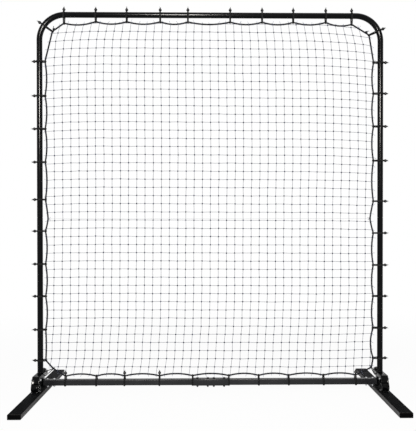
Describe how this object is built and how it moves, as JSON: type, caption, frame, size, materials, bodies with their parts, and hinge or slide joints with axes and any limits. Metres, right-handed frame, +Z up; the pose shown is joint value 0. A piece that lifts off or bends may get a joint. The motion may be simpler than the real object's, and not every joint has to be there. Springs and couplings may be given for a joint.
{
  "type": "pitch back rebounder",
  "caption": "Upright round-cornered tube frame with a knotted net held by ball bungees, on two flat folding legs with level adjusters.",
  "frame": {"origin": "on the ground, under the middle of the object's box", "axes": "+X to the right of someone who faces the net, +Y towards the back, +Z up"},
  "size_m": [1.987, 0.89, 2.155],
  "materials": {
    "frame_paint": "gloss powder coat",
    "bar_paint": "gloss powder coat",
    "leg_paint": "gloss powder coat",
    "black_bolts": "black zinc",
    "zinc": "zinc plated",
    "black_plastic": "moulded",
    "bungee_cord": "braided",
    "ball_plastic": "moulded",
    "rope": "braided",
    "netting": "twisted twine"
  },
  "bodies": {
    "frame": {"top_rail_left": "frame_paint", "top_rail_right": "frame_paint", "left_corner_bend": "frame_paint", "right_corner_bend": "frame_paint", "left_upper_upright": "frame_paint", "right_upper_upright": "frame_paint", "left_lower_upright": "frame_paint", "right_lower_upright": "frame_paint", "joint_screws": "zinc", "crossbar_left": "bar_paint", "crossbar_right": "bar_paint", "crossbar_sleeve": "bar_paint", "sleeve_bolts": "black_bolts", "sleeve_nuts": "black_bolts", "crossbar_end_bolts": "zinc", "crossbar_end_nuts": "zinc", "left_foot_bracket": "frame_paint", "right_foot_bracket": "frame_paint", "bracket_bolts": "zinc", "bracket_nuts": "zinc", "left_hinge_pin": "frame_paint", "right_hinge_pin": "frame_paint", "border_rope": "rope", "net": "netting", "top_bungees": "bungee_cord", "bottom_bungees": "bungee_cord", "left_bungees": "bungee_cord", "right_bungees": "bungee_cord", "corner_bungees": "bungee_cord", "top_bungee_balls": "ball_plastic", "bottom_bungee_balls": "ball_plastic", "left_bungee_balls": "ball_plastic", "right_bungee_balls": "ball_plastic", "corner_bungee_balls": "ball_plastic"},
    "left_folding_leg": {"left_hinge_barrel": "frame_paint", "left_hinge_bushes": "black_plastic", "left_leg": "leg_paint", "left_leg_caps": "black_plastic"},
    "left_adjuster_foot": {"left_adjuster_pad": "black_plastic"},
    "left_adjuster": {"left_adjuster_screw": "zinc", "left_adjuster_knob": "black_plastic"},
    "right_folding_leg": {"right_hinge_barrel": "frame_paint", "right_hinge_bushes": "black_plastic", "right_leg": "leg_paint", "right_leg_caps": "black_plastic"},
    "right_adjuster_foot": {"right_adjuster_pad": "black_plastic"},
    "right_adjuster": {"right_adjuster_screw": "zinc", "right_adjuster_knob": "black_plastic"}
  },
  "joints": [
    {"name": "left_leg_fold", "type": "hinge", "parent": "frame", "child": "left_folding_leg", "pos_m": [-0.95662, -0.075, 0.0524], "axis": [1, 0, 0], "range_deg": [-90, 0]},
    {"name": "right_leg_fold", "type": "hinge", "parent": "frame", "child": "right_folding_leg", "pos_m": [0.95662, -0.075, 0.0524], "axis": [1, 0, 0], "range_deg": [-90, 0]},
    {"name": "left_adjuster_lift", "type": "slide", "parent": "frame", "child": "left_adjuster_foot", "axis": [0, 0, 1], "range_m": [0, 0.006]},
    {"name": "left_adjuster_turn", "type": "hinge", "parent": "left_adjuster_foot", "child": "left_adjuster", "pos_m": [-0.95662, 0.078, 0.112], "axis": [0, 0, 1], "range_deg": [0, 1080]},
    {"name": "right_adjuster_lift", "type": "slide", "parent": "frame", "child": "right_adjuster_foot", "axis": [0, 0, 1], "range_m": [0, 0.006]},
    {"name": "right_adjuster_turn", "type": "hinge", "parent": "right_adjuster_foot", "child": "right_adjuster", "pos_m": [0.95662, 0.078, 0.112], "axis": [0, 0, 1], "range_deg": [0, 1080]}
  ],
  "couplings": [
    {"joint": "left_adjuster_turn", "follows": "left_adjuster_lift", "rad_per_m": 3141.5},
    {"joint": "right_adjuster_turn", "follows": "right_adjuster_lift", "rad_per_m": 3141.5}
  ]
}
